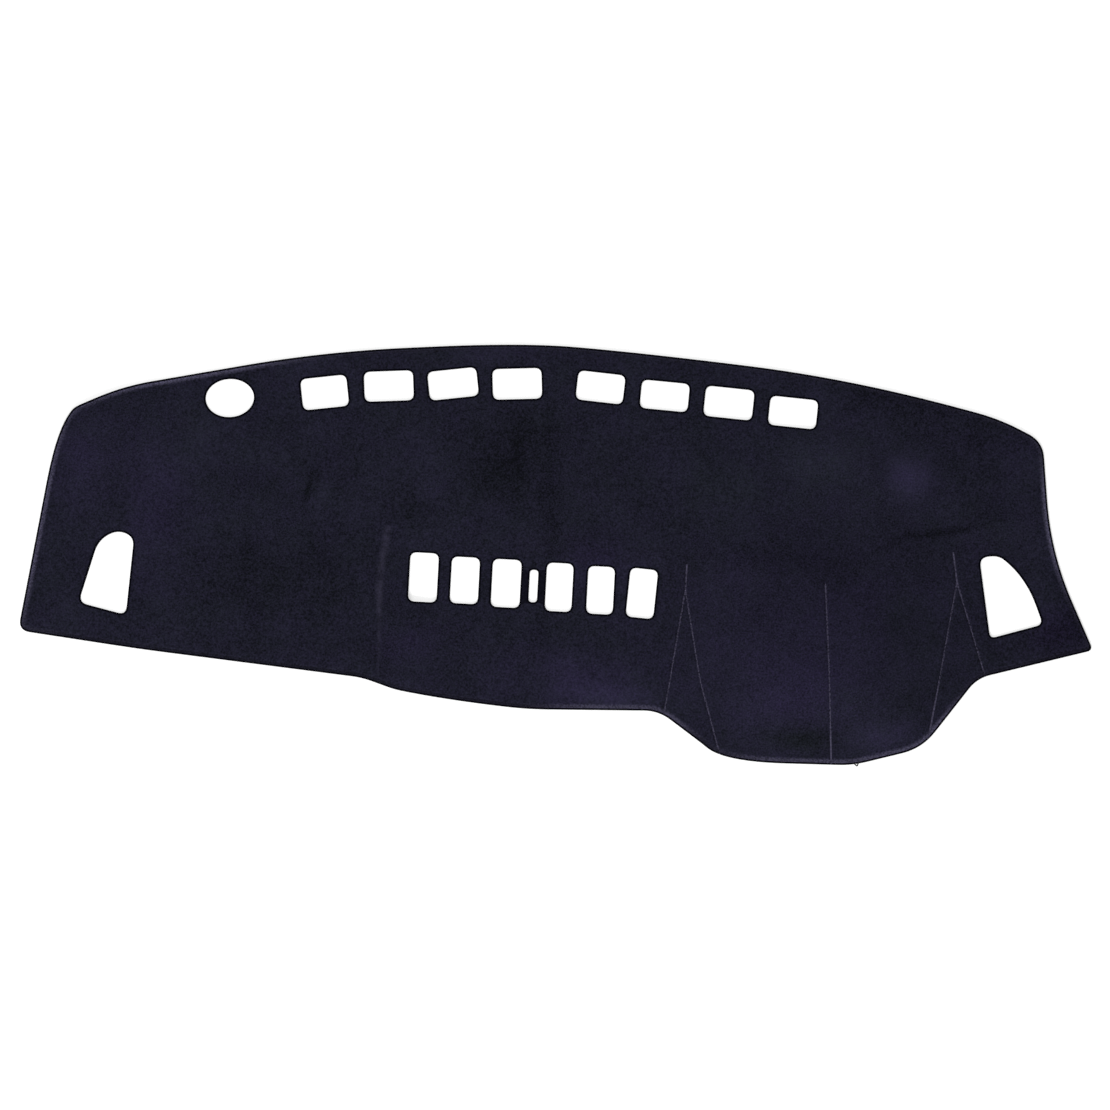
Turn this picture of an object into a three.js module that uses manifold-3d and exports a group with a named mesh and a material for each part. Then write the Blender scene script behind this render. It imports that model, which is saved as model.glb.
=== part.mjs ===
// Dashboard cover mat: one die-cut panel of laminated pile cloth, overlocked all round,
// with two triangular gussets and a dart sewn in to form the instrument hood.
// Millimetres. X runs along the windscreen edge, +Y points at the windscreen, Z is up,
// and the mat lies pile side up as it comes to rest on a table.
import * as THREE from "three";
import { mergeVertices } from "three/addons/utils/BufferGeometryUtils.js";
import Module from "manifold-3d";

const wasm = await Module();
wasm.setup();

// Cloth and edging
const clothThick = 3.6;
const hemWidth = 4.6; // overlocked edge, seen from above
const hemThick = 4.2; // thread wrapped round the cloth makes the edge fatter than the cloth
const hemLift = 0.3; // the rounded edge clears the table by this much
const seamGap = 0.3; // between panel and gusset, where the stitching draws them together
const grooveWidth = 3.2; // valley that a seam makes in the pile
const grooveDepth = 1.4;
const grooveFade = 0.3; // share of its size with which a seam valley begins at its free tip

// Reach of the mat each way from the middle line of the windscreen vents
const leftReach = 730; // to the tip of the left front corner
const hoodOffset = 361; // to the middle of the instrument hood
const hoodToSideVent = 248; // hood middle to the right side vent
const sideVentToTip = 112; // right side vent to the tip of the right front corner
const rightReach = hoodOffset + hoodToSideVent + sideVentToTip;

// Depths, each measured forward from the crown of the windscreen edge
const hoodDepth = 571; // lip of the instrument hood, the deepest point
const centreDepth = 495; // edge in front of the centre vents
const leftDepth = 388; // left front corner
const rightDepth = 415; // right front corner

// Control corners of the cut edge, clockwise from the rear left. A corner is placed across the mat
// from the left tip, the right tip, the middle line or the hood's middle, and forward by its drop
// from the crown. Its round starts `round` before the corner on both sides.
const cutEdge = {
  rearLeft: { left: 74, drop: 85, round: 11 },
  rearLeftSweep: { left: 140, drop: 57, round: 39 },
  rearLeftArch: { left: 412, drop: 10, round: 113 },
  crown: { middle: -49, drop: -2, round: 120 },
  rearRightArch: { middle: 116, drop: 12, round: 164 },
  rearRightSweep: { right: 326, drop: 47, round: 151 },
  rearRightRun: { right: 125, drop: 101, round: 32 },
  rearRight: { right: 65, drop: 132, round: 22 },
  rightWaist: { right: 54, drop: 283, round: 71 },
  frontRight: { right: -3, drop: rightDepth, round: 8 },
  hoodRightRoot: { hood: 206, drop: rightDepth + 38, round: 18 },
  hoodRightShoulder: { hood: 131, drop: hoodDepth - 23, round: 28 },
  hoodRightLip: { hood: 37, drop: hoodDepth, round: 20 },
  hoodLeftLip: { hood: -139, drop: hoodDepth - 5, round: 85 },
  hoodLeftShoulder: { hood: -165, drop: hoodDepth - 28, round: 12 },
  hoodLeftRoot: { hood: -226, drop: centreDepth + 2, round: 20 },
  centreFront: { middle: -42, drop: centreDepth, round: 30 },
  centreFrontLeft: { middle: -148, drop: centreDepth - 12, round: 83 },
  stepRight: { middle: -223, drop: centreDepth - 27, round: 12 },
  stepLeft: { middle: -267, drop: centreDepth - 43, round: 14 },
  leftFront: { left: 160, drop: leftDepth + 25, round: 40 },
  frontLeft: { left: -3, drop: leftDepth, round: 16 },
  leftShoulder: { left: 50, drop: 113, round: 75 },
};

// Windscreen vents, left to right: two groups of four that follow the windscreen edge.
// Each is cut to its own size, its middle is inset from the edge, and turns are in degrees.
const windscreenVentCuts = [
  { width: 62.5, height: 42.5, inset: 52, turn: 6 },
  { width: 66.5, height: 40.5, inset: 50.5, turn: 2 },
  { width: 66.5, height: 39, inset: 51.5, turn: 6 },
  { width: 66.5, height: 41.5, inset: 53, turn: 1.5 },
  { width: 64, height: 39.5, inset: 51.5, turn: -6.5 },
  { width: 65, height: 38.5, inset: 54, turn: -5.5 },
  { width: 66, height: 41, inset: 53.5, turn: -6 },
  { width: 65, height: 39.5, inset: 54.5, turn: -6 },
];
const windscreenPitch = 87;
const windscreenGroupOffset = 187; // middle line to the middle of a group
const ventCorner = 9; // round of every slab-shaped vent

// Sunlight sensor hole, in line with the windscreen vents
const sensorHole = { width: 65.5, height: 51.5, middle: -446, inset: 41, turn: 4 };

// Centre vents, left to right: three and three with a switch slot between
const centreVentCuts = [
  { width: 38.5, height: 66.5, turn: -3 },
  { width: 38, height: 63, turn: -3 },
  { width: 39, height: 65, turn: -3 },
  { width: 36, height: 65.5, turn: -3 },
  { width: 36, height: 64.5, turn: -3 },
  { width: 37.5, height: 66.5, turn: -6 },
];
const centrePitch = 56.2;
const centreSplit = 72; // pitch across the switch slot
const centreRow = { middle: -35.5, ahead: 168, turn: -4.2 }; // ahead: row to the centre edge
const switchSlot = { width: 11.5, height: 44, corner: 5, aside: 1, ahead: 1, turn: -3 };

// Side vents: outlines as control corners about the vent's own middle, the left one seen as cut
const leftSideVent = {
  left: 120,
  ahead: 77, // vent middle to the left front corner's depth
  corners: [
    { x: -41, y: -39, round: 12 },
    { x: 23, y: -56, round: 11 },
    { x: 34, y: 48, round: 11 },
    { x: 14, y: 60, round: 16 },
    { x: -14, y: 46, round: 17 },
  ],
};
const rightSideVent = {
  ahead: 70,
  corners: [
    { x: -24.5, y: -54, round: 8 },
    { x: 47, y: -35, round: 9 },
    { x: 24, y: 29, round: 42 },
    { x: -12.5, y: 58, round: 10 },
    { x: -39, y: 56, round: 13 },
  ],
};

// Hood seams, measured back from the lip
const gussetTip = 5; // blunt end of a gusset, where the stem seam begins
const leftGusset = {
  hood: -189.5,
  apex: 238,
  stemHood: -187.5,
  stem: 34,
  rootInset: 9,
  shoulderPast: 29,
  bend: { hood: -169.5, back: 114 }, // the seam on the shoulder's side turns outwards here
};
const rightGusset = {
  hood: 178.5,
  apex: 248,
  stemHood: 173.5,
  stem: 40,
  rootInset: -14,
  shoulderPast: -12,
};
const hoodDart = { tipHood: -0.5, tip: 245, footHood: 9 };

// Left dart, which steps the front edge
const leftDart = { tipMiddle: -232, tip: 250, bendMiddle: -243, bend: 175, footMiddle: -246 };

// Relief of the cloth as it lies
const hoodRise = 34; // crown of the hood above the table
const hoodCrownHalf = 42; // half the width that stays near full height
const hoodFlank = 165; // fall of the hood to each side
const hoodFront = 118; // fall from the crown to the lip
const hoodBack = 235; // fall from the crown back to the flat of the mat
const hoodCrownBack = 128; // lip to the front of the crown
const lifts = {
  behindHood: { hood: -2, drop: 165, long: 95, wide: 70, turn: 0, rise: 5 },
  behindHoodRight: { hood: 109, drop: 178, long: 78, wide: 62, turn: 20, rise: 6 },
  middleFold: { middle: 4, drop: 214, long: 110, wide: 34, turn: 86, rise: 3 },
  besideLeftDart: { middle: -196, drop: 392, long: 120, wide: 56, turn: 92, rise: 7 },
  leftField: { left: 330, drop: 212, long: 90, wide: 48, turn: -30, rise: 4 },
  rearLeft: { left: 110, drop: 108, long: 105, wide: 70, turn: 35, rise: 5 },
  rightField: { right: 120, drop: 238, long: 74, wide: 44, turn: 15, rise: 4 },
};

// Fineness of the mesh
const coarseStep = 36;
const fineStep = 19; // across the hood
const edgeStep = 32;
const roundSteps = 4; // pieces in the curve of a corner
const ovalSteps = 28;
const samePoint = 0.01;

const margin = 20; // blanks and cutters run past the cloth by this much
const cutterBelow = -10;
const cutterHeight = hoodRise + 40;

// Turns a placement into a point of the plane, with the crown of the windscreen edge at y = 0
function place({ left, right, hood, middle, drop }) {
  if (left !== undefined) return new THREE.Vector2(left - leftReach, -drop);
  if (right !== undefined) return new THREE.Vector2(rightReach - right, -drop);
  if (hood !== undefined) return new THREE.Vector2(hoodOffset + hood, -drop);
  return new THREE.Vector2(middle, -drop);
}

function turned(point, degrees) {
  return point.clone().rotateAround(new THREE.Vector2(), THREE.MathUtils.degToRad(degrees));
}

// Part of a side that a corner's round takes: two long rounds on a short side divide it
function roundShare(round, otherRound, side) {
  return round / Math.max(side, round + otherRound);
}

// Counter-clockwise outline through control corners, each taken by a curve that starts its round away
function roundedOutline(corners) {
  const path = new THREE.Path();
  corners.forEach(({ at, round }, i) => {
    const before = corners.at(i - 1);
    const after = corners[(i + 1) % corners.length];
    const enterShare = roundShare(round, before.round, at.distanceTo(before.at));
    const leaveShare = roundShare(round, after.round, at.distanceTo(after.at));
    const enter = at.clone().lerp(before.at, enterShare);
    const leave = at.clone().lerp(after.at, leaveShare);
    if (i === 0) path.moveTo(enter.x, enter.y);
    else path.lineTo(enter.x, enter.y);
    path.quadraticCurveTo(at.x, at.y, leave.x, leave.y);
  });
  const points = path.getPoints(roundSteps);
  const outline = points.filter((p, i) => p.distanceTo(points.at(i - 1)) > samePoint);
  if (THREE.ShapeUtils.isClockWise(outline)) outline.reverse();
  return outline;
}

// Points of the cut edge, with no side longer than the edge step
function edgePoints() {
  const corners = Object.values(cutEdge).map((c) => ({ at: place(c), round: c.round }));
  const points = roundedOutline(corners);
  return points.flatMap((point, i) => {
    const next = points[(i + 1) % points.length];
    const pieces = Math.ceil(point.distanceTo(next) / edgeStep);
    return Array.from({ length: pieces }, (_, k) => point.clone().lerp(next, k / pieces));
  });
}

const edge = edgePoints();

// Points moved in from the edge, square to it
function edgeInset(inset) {
  return edge.map((point, i) => {
    const before = edge.at(i - 1);
    const after = edge[(i + 1) % edge.length];
    const along = after.clone().sub(before).normalize();
    return new THREE.Vector2(point.x - along.y * inset, point.y + along.x * inset);
  });
}

// Height of the windscreen edge at a place across the mat
function windscreenEdgeAt(x) {
  let height = -Infinity;
  edge.forEach((a, i) => {
    const b = edge[(i + 1) % edge.length];
    if ((a.x - x) * (b.x - x) > 0 || a.x === b.x) return;
    height = Math.max(height, a.y + ((b.y - a.y) * (x - a.x)) / (b.x - a.x));
  });
  return height;
}

function smooth(t) {
  const s = THREE.MathUtils.clamp(t, 0, 1);
  return s * s * (3 - 2 * s);
}

// Height of the cloth's underside above the table
function relief(x, y) {
  const crownY = -hoodDepth + hoodCrownBack;
  const side = smooth((hoodCrownHalf + hoodFlank - Math.abs(x - hoodOffset)) / hoodFlank);
  const front = smooth((y + hoodDepth) / hoodFront);
  const back = smooth((crownY + hoodBack - y) / hoodBack);
  let height = hoodRise * side * front * back;
  for (const lift of Object.values(lifts)) {
    const away = turned(new THREE.Vector2(x, y).sub(place(lift)), -lift.turn);
    height += lift.rise * smooth(1 - Math.hypot(away.x / lift.long, away.y / lift.wide));
  }
  return height;
}

function toSolid(geometry) {
  const bare = geometry.clone();
  bare.deleteAttribute("normal");
  bare.deleteAttribute("uv");
  const merged = mergeVertices(bare, 1e-4);
  return new wasm.Manifold(
    new wasm.Mesh({
      numProp: 3,
      vertProperties: new Float32Array(merged.attributes.position.array),
      triVerts: new Uint32Array(merged.index.array),
    }),
  );
}

function toGeometry(solid) {
  const mesh = solid.getMesh();
  const geometry = new THREE.BufferGeometry();
  geometry.setAttribute("position", new THREE.BufferAttribute(mesh.vertProperties, mesh.numProp));
  geometry.setIndex(new THREE.BufferAttribute(mesh.triVerts, 1));
  return geometry;
}

// Stack of equal closed rings joined by quads, closed at its ends or on itself
function loft(rings, closed) {
  const size = rings[0].length;
  const geometry = new THREE.BufferGeometry();
  geometry.setFromPoints(rings.flat());
  const triangles = [];
  const last = closed ? rings.length : rings.length - 1;
  for (let r = 0; r < last; r += 1) {
    const here = r * size;
    const there = ((r + 1) % rings.length) * size;
    for (let k = 0; k < size; k += 1) {
      const next = (k + 1) % size;
      triangles.push(here + k, here + next, there + next, here + k, there + next, there + k);
    }
  }
  if (!closed) {
    const end = last * size;
    for (let k = 1; k < size - 1; k += 1) {
      triangles.push(0, k + 1, k, end, end + k, end + k + 1);
    }
  }
  geometry.setIndex(triangles);
  return geometry;
}

// Stations from low to high, closer together inside the fine stretch
function gridLines(low, high, fineLow, fineHigh) {
  const lines = [low];
  while (lines.at(-1) < high) {
    const fine = lines.at(-1) >= fineLow - fineStep && lines.at(-1) < fineHigh;
    lines.push(Math.min(lines.at(-1) + (fine ? fineStep : coarseStep), high));
  }
  return lines;
}

// Rectangular blank of cloth that already lies in its relief
function clothBlank() {
  const hoodLeft = hoodOffset - hoodCrownHalf - hoodFlank;
  const hoodRight = hoodOffset + hoodCrownHalf + hoodFlank;
  const xs = gridLines(-leftReach - margin, rightReach + margin, hoodLeft, hoodRight);
  const ys = gridLines(-hoodDepth - margin, margin, -hoodDepth, -hoodDepth + hoodCrownBack + hoodBack);
  const rings = xs.map((x) => {
    const under = ys.map((y) => new THREE.Vector3(x, y, relief(x, y)));
    const over = ys.map((y) => new THREE.Vector3(x, y, relief(x, y) + clothThick)).reverse();
    return under.concat(over);
  });
  const triangles = [];
  const rows = ys.length;
  const size = 2 * rows;
  for (let column = 0; column < xs.length - 1; column += 1) {
    for (let k = 0; k < size; k += 1) {
      const a = column * size + k;
      const b = column * size + ((k + 1) % size);
      triangles.push(a, b, b + size, a, b + size, a + size);
    }
  }
  const lastColumn = (xs.length - 1) * size;
  for (let k = 0; k < rows - 1; k += 1) {
    const [a, b, c, d] = [k, k + 1, size - 2 - k, size - 1 - k];
    triangles.push(a, c, b, a, d, c);
    triangles.push(lastColumn + a, lastColumn + b, lastColumn + c);
    triangles.push(lastColumn + a, lastColumn + c, lastColumn + d);
  }
  const geometry = new THREE.BufferGeometry().setFromPoints(rings.flat());
  geometry.setIndex(triangles);
  return toSolid(geometry);
}

// Upright prism of an outline, tall enough to pass through the cloth anywhere
function through(outline) {
  const settings = { depth: cutterHeight, bevelEnabled: false };
  const geometry = new THREE.ExtrudeGeometry(new THREE.Shape(outline), settings);
  geometry.translate(0, 0, cutterBelow);
  return toSolid(geometry);
}

// Overlocked edge: an oval bead that follows the cut edge and the relief
function hem() {
  const sides = 8;
  const rings = Array.from({ length: sides }, (_, k) => {
    const angle = (k / sides) * 2 * Math.PI;
    const inset = (hemWidth / 2) * (1 - Math.cos(angle));
    const height = hemLift + (hemThick / 2) * (1 + Math.sin(angle));
    const line = edgeInset(inset);
    return line.map((p, i) => new THREE.Vector3(p.x, p.y, relief(edge[i].x, edge[i].y) + height));
  });
  return toSolid(loft(rings, true));
}

// Valley in the pile along a straight seam: a V cutter with upright walls, drawn over the cloth's face.
// It fades in at a free tip, and elsewhere begins early enough to run into the seam before it.
function groove(from, to, fadesIn) {
  const along = to.clone().sub(from).normalize();
  if (!fadesIn) from = from.clone().addScaledVector(along, -grooveWidth);
  const steps = Math.ceil(from.distanceTo(to) / fineStep);
  const across = new THREE.Vector2(-along.y, along.x).multiplyScalar(grooveWidth / 2);
  const rings = Array.from({ length: steps + 1 }, (_, k) => {
    const at = from.clone().lerp(to, k / steps);
    const face = relief(at.x, at.y) + clothThick;
    const size = fadesIn && k === 0 ? grooveFade : 1;
    const left = at.clone().addScaledVector(across, size);
    const right = at.clone().addScaledVector(across, -size);
    return [
      new THREE.Vector3(at.x, at.y, face - grooveDepth * size),
      new THREE.Vector3(left.x, left.y, face),
      new THREE.Vector3(left.x, left.y, face + hemThick),
      new THREE.Vector3(right.x, right.y, face + hemThick),
      new THREE.Vector3(right.x, right.y, face),
    ];
  });
  return toSolid(loft(rings, false));
}

function slab(at, { width, height, turn }, corner) {
  const corners = [[-1, -1], [1, -1], [1, 1], [-1, 1]].map(([sx, sy]) => ({
    at: turned(new THREE.Vector2((sx * width) / 2, (sy * height) / 2), turn).add(at),
    round: corner,
  }));
  return through(roundedOutline(corners));
}

function windscreenVents() {
  const inGroup = windscreenVentCuts.length / 2;
  return windscreenVentCuts.map((cut, i) => {
    const group = i < inGroup ? -windscreenGroupOffset : windscreenGroupOffset;
    const x = group + ((i % inGroup) - (inGroup - 1) / 2) * windscreenPitch;
    const at = new THREE.Vector2(x, windscreenEdgeAt(x) - cut.inset);
    return slab(at, cut, ventCorner);
  });
}

function sensorCut() {
  const { width, height, middle, inset, turn } = sensorHole;
  const y = windscreenEdgeAt(middle) - inset;
  const lean = THREE.MathUtils.degToRad(turn);
  const oval = new THREE.EllipseCurve(middle, y, width / 2, height / 2, 0, 2 * Math.PI, false, lean);
  return through(oval.getPoints(ovalSteps).slice(1));
}

function centreVents() {
  const row = place({ middle: centreRow.middle, drop: centreDepth - centreRow.ahead });
  const inHalf = centreVentCuts.length / 2;
  const cuts = centreVentCuts.map((cut, i) => {
    const offset = i < inHalf
      ? -centreSplit / 2 - (inHalf - 1 - i) * centrePitch
      : centreSplit / 2 + (i - inHalf) * centrePitch;
    const along = turned(new THREE.Vector2(offset, 0), centreRow.turn);
    return slab(row.clone().add(along), cut, ventCorner);
  });
  const slotAt = row.clone().add(new THREE.Vector2(switchSlot.aside, -switchSlot.ahead));
  cuts.push(slab(slotAt, switchSlot, switchSlot.corner));
  return cuts;
}

function sideVent(at, corners) {
  const placed = corners.map(({ x, y, round }) => ({ at: new THREE.Vector2(x, y).add(at), round }));
  return through(roundedOutline(placed));
}

function sideVents() {
  const left = place({ left: leftSideVent.left, drop: leftDepth - leftSideVent.ahead });
  const right = place({ right: sideVentToTip, drop: rightDepth - rightSideVent.ahead });
  return [sideVent(left, leftSideVent.corners), sideVent(right, rightSideVent.corners)];
}

// Seam lines of a gusset: two legs from its blunt tip to feet past the cut edge, and the stem above.
// A leg is a line of points, which has a bend where the gusset states one.
function gussetSeam(gusset, root, shoulder) {
  const rootAt = place(root);
  const shoulderAt = place(shoulder);
  const flank = shoulderAt.clone().sub(rootAt).normalize();
  const apex = place({ hood: gusset.hood, drop: hoodDepth - gusset.apex });
  const side = new THREE.Vector2(Math.sign(flank.x) * (gussetTip / 2), 0);
  const rootLeg = [apex.clone().sub(side)];
  const shoulderLeg = [apex.clone().add(side)];
  if (gusset.bend) {
    shoulderLeg.push(place({ hood: gusset.bend.hood, drop: hoodDepth - gusset.bend.back }));
  }
  rootLeg.push(rootAt.addScaledVector(flank, gusset.rootInset));
  shoulderLeg.push(shoulderAt.addScaledVector(flank, gusset.shoulderPast));
  for (const leg of [rootLeg, shoulderLeg]) {
    const along = leg.at(-1).clone().sub(leg.at(-2)).normalize();
    leg.at(-1).addScaledVector(along, margin);
  }
  const stemTop = place({ hood: gusset.stemHood, drop: hoodDepth - gusset.apex - gusset.stem });
  return { apex, rootLeg, shoulderLeg, stemTop };
}

const { hoodLeftRoot, hoodLeftShoulder, hoodRightRoot, hoodRightShoulder } = cutEdge;
const leftSeam = gussetSeam(leftGusset, hoodLeftRoot, hoodLeftShoulder);
const rightSeam = gussetSeam(rightGusset, hoodRightRoot, hoodRightShoulder);

// Prism of a gusset, grown or shrunk on every side to leave the seam gap
function wedge({ rootLeg, shoulderLeg }, grow) {
  const corners = [...rootLeg, ...shoulderLeg.toReversed()];
  if (THREE.ShapeUtils.isClockWise(corners)) corners.reverse();
  const sides = corners.map((a, i) => {
    const along = corners[(i + 1) % corners.length].clone().sub(a).normalize();
    const out = new THREE.Vector2(along.y, -along.x).multiplyScalar(grow);
    return { at: a.clone().add(out), along };
  });
  const moved = sides.map((side, i) => {
    const before = sides.at(i - 1);
    const t = before.at.clone().sub(side.at).cross(before.along) / side.along.cross(before.along);
    return side.at.clone().addScaledVector(side.along, t);
  });
  return through(moved);
}

function seamGrooves() {
  const dartFoot = place({ hood: hoodDart.footHood, drop: hoodDepth + margin });
  const dartTip = place({ hood: hoodDart.tipHood, drop: hoodDepth - hoodDart.tip });
  const leftTip = place({ middle: leftDart.tipMiddle, drop: leftDart.tip });
  const leftBend = place({ middle: leftDart.bendMiddle, drop: centreDepth - leftDart.bend });
  const leftFoot = place({ middle: leftDart.footMiddle, drop: centreDepth + margin });
  const cuts = [groove(dartTip, dartFoot, true)];
  cuts.push(groove(leftTip, leftBend, true), groove(leftBend, leftFoot, false));
  for (const { apex, rootLeg, shoulderLeg, stemTop } of [leftSeam, rightSeam]) {
    cuts.push(groove(stemTop, apex, true));
    for (const leg of [rootLeg, shoulderLeg]) {
      leg.slice(1).forEach((to, i) => cuts.push(groove(leg[i], to, false)));
    }
  }
  return cuts;
}

function joined(solids) {
  return solids.reduce((whole, solid) => whole.add(solid));
}

// Cloth cut to the edge, hemmed, with every vent and seam valley cut in it
function sewnCloth() {
  const cut = through(edgeInset(hemWidth / 2));
  const hemmed = clothBlank().intersect(cut).add(hem());
  const vents = [...windscreenVents(), sensorCut(), ...centreVents(), ...sideVents()];
  return hemmed.subtract(joined(vents)).subtract(joined(seamGrooves()));
}

const cloth = new THREE.MeshStandardMaterial({ color: 0x1f1e2a, roughness: 0.95, metalness: 0 });

function panelMesh(name, solid) {
  const mesh = new THREE.Mesh(toGeometry(solid), cloth.clone());
  mesh.geometry.computeVertexNormals();
  mesh.name = name;
  return mesh;
}

const sewn = sewnCloth();
const group = new THREE.Group();
group.add(panelMesh(
  "main_panel",
  sewn.subtract(wedge(leftSeam, seamGap / 2)).subtract(wedge(rightSeam, seamGap / 2)),
));
group.add(panelMesh("hood_gusset_left", sewn.intersect(wedge(leftSeam, -seamGap / 2))));
group.add(panelMesh("hood_gusset_right", sewn.intersect(wedge(rightSeam, -seamGap / 2))));

// The origin is on the table, under the middle of the mat
const box = new THREE.Box3().setFromObject(group);
group.position.set(-(box.min.x + box.max.x) / 2, -(box.min.y + box.max.y) / 2, -box.min.z);

export default group;
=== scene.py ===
import math
import bpy
import numpy as np
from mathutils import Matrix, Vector, geometry, kdtree


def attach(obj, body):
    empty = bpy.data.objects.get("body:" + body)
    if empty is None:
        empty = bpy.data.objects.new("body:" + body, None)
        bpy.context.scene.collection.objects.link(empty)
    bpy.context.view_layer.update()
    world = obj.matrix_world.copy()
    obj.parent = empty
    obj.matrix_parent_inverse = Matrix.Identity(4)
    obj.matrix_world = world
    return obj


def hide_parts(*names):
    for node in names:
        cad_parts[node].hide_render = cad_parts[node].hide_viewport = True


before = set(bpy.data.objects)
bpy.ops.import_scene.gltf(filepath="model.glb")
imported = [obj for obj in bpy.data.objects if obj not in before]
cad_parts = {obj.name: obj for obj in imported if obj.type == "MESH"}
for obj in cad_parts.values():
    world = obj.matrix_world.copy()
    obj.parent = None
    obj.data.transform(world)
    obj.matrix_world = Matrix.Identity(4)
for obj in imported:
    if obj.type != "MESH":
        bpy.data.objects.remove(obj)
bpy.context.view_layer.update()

mm = 0.001


# Plan of the mat, in millimetres. x runs along the windscreen edge, y = 0 at that edge's crown, forward is -y
mat = {
    "leftReach": 730,        # middle line of the windscreen vents to the left tip
    "hoodOffset": 361,       # middle line to the middle of the instrument hood
    "rightReach": 721,       # middle line to the right tip
    "hoodDepth": 571,        # crown of the windscreen edge to the lip of the hood
    "centreDepth": 495,
    "leftDepth": 388,
    "rightDepth": 415,
    "roundSteps": 12,        # steps in each rounded corner
}
# How finely the plan is divided, in millimetres
net = {
    "edge": 3.2, "hole": 2.4, "seam": 3.2, "field": 6.2,     # steps along the lines and in the field
    # Rows of points in from the cut edge, out from a hole and beside a seam
    "hemRows": (0.12, 0.45, 1.0, 1.7, 2.5, 3.4, 4.3, 5.2, 6.2, 8.0),
    "holeRows": (0.3, 0.9, 2.6),
    "seamRows": (0, 0.7, 1.5, 2.6, 4.2, 6.5),
    # Least gaps to the cut edge, to a seam and between rows, and round the field in its own steps
    "offEdge": 0.4, "offSeam": 0.5, "apart": 0.55, "fieldShare": 0.62,
    "rowShare": 0.97,        # a hem row is left out where it is nearer the edge than this share
    "onEdge": 0.001,         # nearer than this, a point lies on the cut edge
}

# Corners where the hood's flanks meet the rest of the front edge, and where they meet its lip
hoodRightRoot = {"hood": 206, "drop": 453, "round": 18}
hoodRightShoulder = {"hood": 131, "drop": 548, "round": 28}
hoodLeftShoulder = {"hood": -165, "drop": 543, "round": 12}
hoodLeftRoot = {"hood": -226, "drop": 497, "round": 20}

# Control corners of the cut edge, clockwise from the rear left. Each is placed across the mat from a tip,
# the middle line or the hood's middle, and forward by its drop from the crown.
cutEdge = [
    {"left": 74, "drop": 85, "round": 11},       # rear left
    {"left": 140, "drop": 57, "round": 39},
    {"left": 412, "drop": 10, "round": 113},
    {"middle": -49, "drop": -2, "round": 120},   # crown
    {"middle": 116, "drop": 12, "round": 164},
    {"right": 326, "drop": 47, "round": 151},
    {"right": 125, "drop": 101, "round": 32},
    {"right": 65, "drop": 132, "round": 22},     # rear right
    {"right": 54, "drop": 283, "round": 71},
    {"right": -3, "drop": mat["rightDepth"], "round": 8},        # right tip
    hoodRightRoot,
    hoodRightShoulder,
    {"hood": 37, "drop": mat["hoodDepth"], "round": 20},         # lip of the hood
    {"hood": -139, "drop": 566, "round": 85},
    hoodLeftShoulder,
    hoodLeftRoot,
    {"middle": -42, "drop": mat["centreDepth"], "round": 30},    # edge in front of the centre vents
    {"middle": -148, "drop": 483, "round": 83},
    {"middle": -223, "drop": 468, "round": 12},
    {"middle": -267, "drop": 452, "round": 14},
    {"left": 160, "drop": 413, "round": 40},
    {"left": -3, "drop": mat["leftDepth"], "round": 16},         # left tip
    {"left": 50, "drop": 113, "round": 75},
]


def place(corner):
    # Where a corner lies in the plan
    if "left" in corner:
        x = corner["left"] - mat["leftReach"]
    elif "right" in corner:
        x = mat["rightReach"] - corner["right"]
    elif "hood" in corner:
        x = mat["hoodOffset"] + corner["hood"]
    else:
        x = corner["middle"]
    return np.array((x, -corner["drop"]), float)


def turned(points, degrees):
    a = math.radians(degrees)
    return points @ np.array(((math.cos(a), math.sin(a)), (-math.sin(a), math.cos(a))))


def roundedOutline(corners, steps):
    # Each corner is taken by a curve that starts its round away, and two long rounds share a short side
    points = []
    for i, (at, radius) in enumerate(corners):
        before, beforeRadius = corners[i - 1]
        after, afterRadius = corners[(i + 1) % len(corners)]
        backShare = radius / max(np.linalg.norm(before - at), radius + beforeRadius)
        nextShare = radius / max(np.linalg.norm(after - at), radius + afterRadius)
        enter = at + (before - at) * backShare
        leave = at + (after - at) * nextShare
        for t in np.linspace(0, 1, steps + 1):
            points.append((1 - t) ** 2 * enter + 2 * t * (1 - t) * at + t * t * leave)
    return np.array(points)


def evenSteps(points, step, closed):
    # The same line walked in equal steps
    path = np.vstack((points, points[:1])) if closed else points
    lengths = np.linalg.norm(np.diff(path, axis=0), axis=1)
    along = np.concatenate(((0,), np.cumsum(lengths)))
    count = max(2, round(along[-1] / step))
    stations = np.linspace(0, along[-1], count + 1)
    if closed:
        stations = stations[:-1]
    return np.column_stack([np.interp(stations, along, path[:, k]) for k in (0, 1)])


def lineSides(points, closed):
    # At each point, the direction square to the line, on its left
    before = np.roll(points, 1, axis=0)
    after = np.roll(points, -1, axis=0)
    if not closed:
        before[0] = points[0]
        after[-1] = points[-1]
    along = after - before
    along /= np.maximum(np.linalg.norm(along, axis=1), 1e-9)[:, None]
    return np.column_stack((-along[:, 1], along[:, 0]))


def counterClockwise(points):
    x, y = points.T
    area = np.sum(x * np.roll(y, -1) - np.roll(x, -1) * y)
    return points if area > 0 else points[::-1]


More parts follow.
